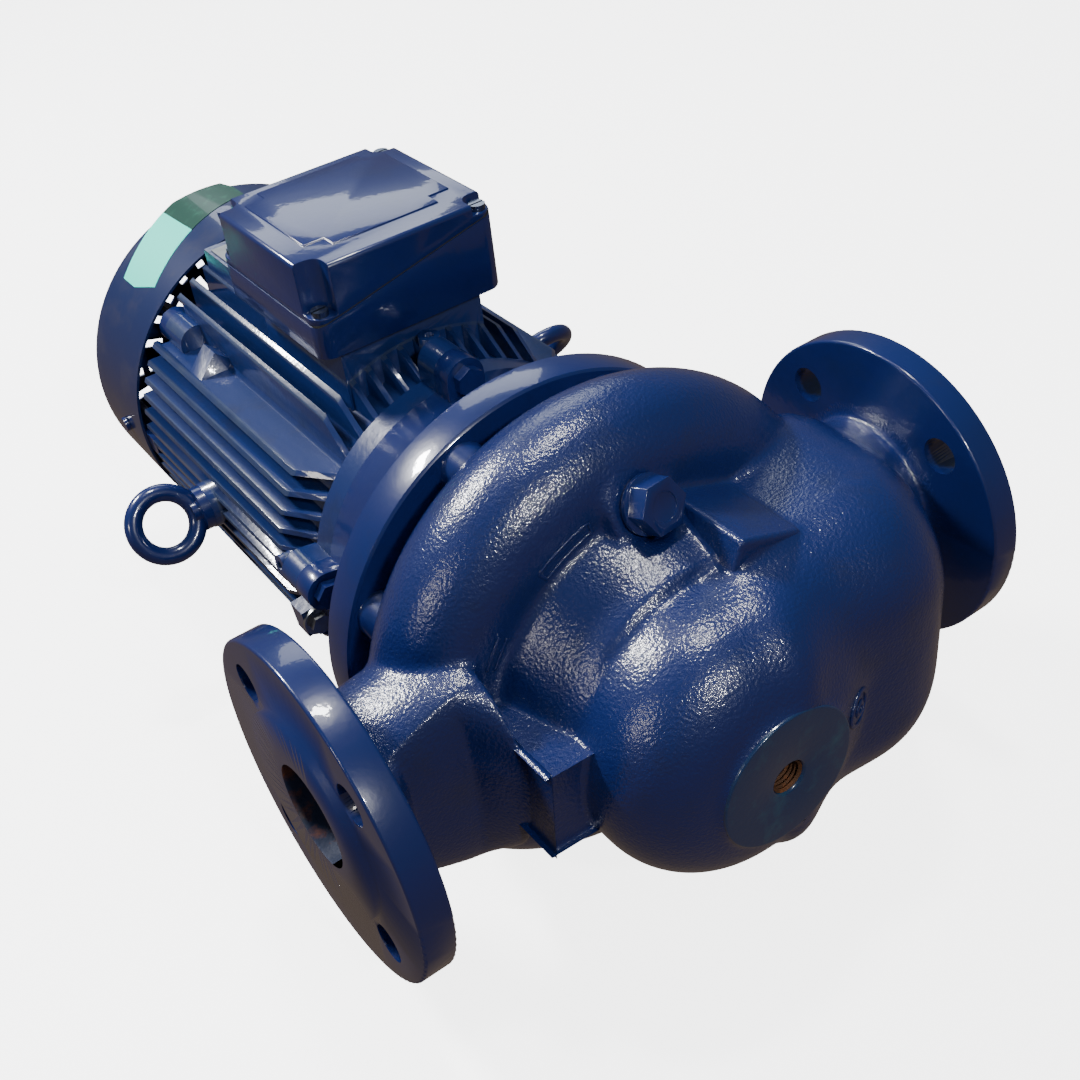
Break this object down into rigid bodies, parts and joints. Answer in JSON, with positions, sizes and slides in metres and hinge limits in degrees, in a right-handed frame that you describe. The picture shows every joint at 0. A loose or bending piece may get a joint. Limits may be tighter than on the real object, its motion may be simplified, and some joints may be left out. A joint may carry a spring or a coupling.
{
  "type": "centrifugal water pump",
  "caption": "In-line flanged centrifugal pump with volute casing, front suction dome, close-coupled finned electric motor, fan cowl, terminal box and lifting eyes.",
  "frame": {"origin": "centre of the foot boss face at the front of the pump, on the shaft axis", "axes": "+Y along the shaft from the pump to the fan, -X through the discharge flange, +X through the suction flange, +Z towards the terminal box"},
  "size_m": [0.35, 0.5175, 0.2817],
  "materials": {
    "pump_paint": "deep gloss enamel over rough sand-cast iron",
    "pump_paint_plug": "gloss enamel over a machined hex plug",
    "motor_paint": "gloss enamel over machined cast iron",
    "frame_paint": "gloss enamel over a die-cast finned frame",
    "rear_shield_paint": "gloss enamel",
    "cowl_paint": "smooth gloss enamel over pressed sheet",
    "box_paint": "gloss enamel over die-cast aluminium",
    "lid_paint": "gloss enamel over die-cast aluminium",
    "eyebolt_paint": "gloss enamel over forged steel",
    "painted_bolts": "gloss enamel over steel bolts",
    "painted_screws": "gloss enamel over steel screws",
    "guard_sheet": "enamelled thin sheet",
    "cast_iron_bare": "machined cast iron",
    "impeller_iron": "cast and part machined",
    "bronze": "machined bronze",
    "gasket": "soft gasket sheet",
    "seal_carbon": "lapped carbon",
    "seal_ceramic": "polished ceramic",
    "black_rubber": "matt rubber",
    "washer_metal": "soft sealing washer",
    "spring_steel": "bright spring steel",
    "lamination_steel": "stacked electrical sheet",
    "copper_enamel": "varnished copper windings",
    "cast_aluminium": "die-cast",
    "label_print": "printed film label, teal",
    "board_plastic": "moulded thermoset",
    "brass_studs": "machined brass",
    "zinc_steel": "zinc-plated",
    "lid_screw_zinc": "zinc-plated, partly painted over",
    "plug_plastic": "moulded",
    "plate_aluminium": "brushed plate",
    "shaft_steel": "ground steel",
    "stainless": "stainless",
    "bearing_steel": "ground bearing steel",
    "ball_steel": "polished",
    "cage_steel": "pressed steel",
    "fan_plastic": "moulded"
  },
  "bodies": {
    "housing": {"volute_casing": "pump_paint", "wear_ring": "bronze", "casing_cover": "cast_iron_bare", "casing_gasket": "gasket", "seal_seat": "seal_ceramic", "vent_plug": "pump_paint_plug", "vent_plug_washer": "washer_metal", "drive_end_shield": "motor_paint", "lantern_guard": "guard_sheet", "casing_bolts": "painted_bolts", "casing_bolt_washers": "painted_bolts", "front_shield_bolts": "painted_bolts", "motor_frame": "frame_paint", "stator_core": "lamination_steel", "stator_windings": "copper_enamel", "rear_shield": "rear_shield_paint", "rear_shield_bolts": "painted_bolts", "preload_spring": "spring_steel", "fan_cowl": "cowl_paint", "cowl_screws": "painted_screws", "cowl_label": "label_print", "terminal_box_base": "box_paint", "terminal_box_lid": "lid_paint", "box_seat_gasket": "gasket", "lid_gasket": "gasket", "terminal_board": "board_plastic", "terminal_studs": "brass_studs", "terminal_links": "brass_studs", "box_fixing_screws": "zinc_steel", "lid_screws": "lid_screw_zinc", "blanking_plugs": "plug_plastic", "eyebolt_left": "eyebolt_paint", "eyebolt_right": "eyebolt_paint", "rating_plate": "plate_aluminium", "plate_rivets": "plate_aluminium", "earth_bolt": "zinc_steel", "earth_washer": "zinc_steel", "bearing_outer_de": "bearing_steel", "bearing_outer_nde": "bearing_steel"},
    "rotor": {"shaft": "shaft_steel", "rotor_core": "lamination_steel", "rotor_cage": "cast_aluminium", "impeller": "impeller_iron", "impeller_key": "shaft_steel", "impeller_washer": "stainless", "impeller_nut": "stainless", "seal_ring": "seal_carbon", "seal_spring": "spring_steel", "slinger": "black_rubber", "bearing_inner_de": "bearing_steel", "bearing_inner_nde": "bearing_steel", "cooling_fan": "fan_plastic", "fan_clip": "spring_steel"},
    "cage_de": {"bearing_balls_de": "ball_steel", "bearing_cage_de": "cage_steel"},
    "cage_nde": {"bearing_balls_nde": "ball_steel", "bearing_cage_nde": "cage_steel"}
  },
  "joints": [
    {"name": "shaft_spin", "type": "hinge", "parent": "housing", "child": "rotor", "pos_m": [0, 0.116, 0], "axis": [0, 1, 0], "continuous": true},
    {"name": "cage_de_spin", "type": "hinge", "parent": "housing", "child": "cage_de", "pos_m": [0, 0.116, 0], "axis": [0, 1, 0], "continuous": true},
    {"name": "cage_nde_spin", "type": "hinge", "parent": "housing", "child": "cage_nde", "pos_m": [0, 0.116, 0], "axis": [0, 1, 0], "continuous": true}
  ],
  "couplings": [
    {"joint": "cage_de_spin", "follows": "shaft_spin", "ratio": 0.4},
    {"joint": "cage_nde_spin", "follows": "shaft_spin", "ratio": 0.4}
  ]
}
